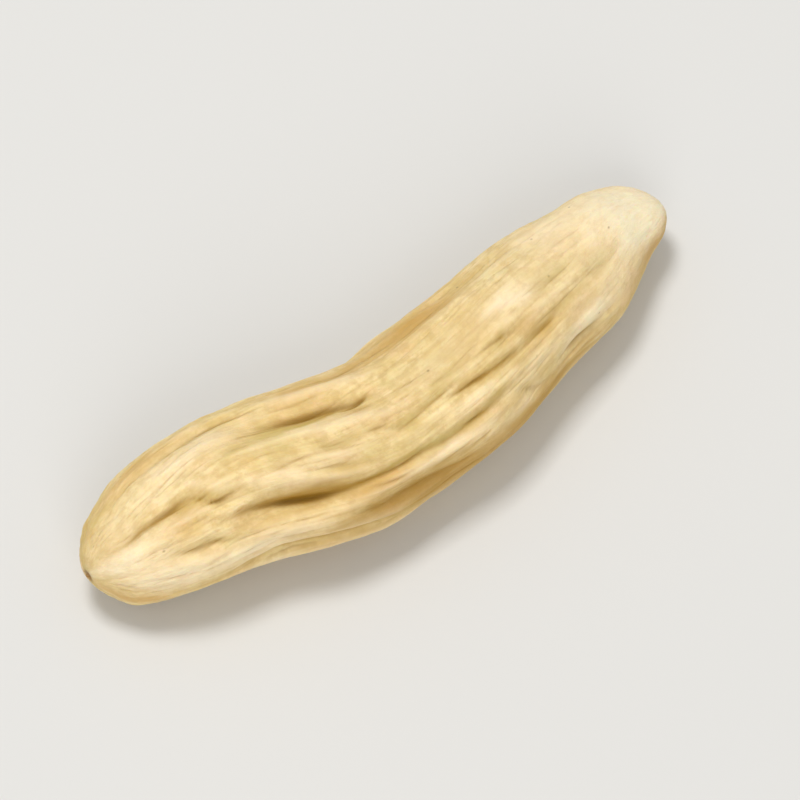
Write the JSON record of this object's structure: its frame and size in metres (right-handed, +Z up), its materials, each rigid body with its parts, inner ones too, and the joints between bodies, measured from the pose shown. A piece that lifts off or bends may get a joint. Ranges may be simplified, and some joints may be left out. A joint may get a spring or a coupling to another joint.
{
  "type": "dried dwarf lilyturf tuber",
  "caption": "Dried dwarf lilyturf tuber: a small bent spindle of root, pale yellow, wrinkled lengthwise, with two rounded ends. It lies on its side.",
  "frame": {"origin": "on the surface that the tuber lies on, under the middle of its bounding box", "axes": "+X along the tuber from its root end to its far end, +Y towards the hollow side of its bend, +Z up"},
  "size_m": [0.025, 0.007, 0.0053],
  "materials": {
    "dried_tuber": "matte to faintly waxy, pale yellow, browner in the furrows"
  },
  "bodies": {
    "root": {"tuber": "dried_tuber"}
  },
  "joints": []
}
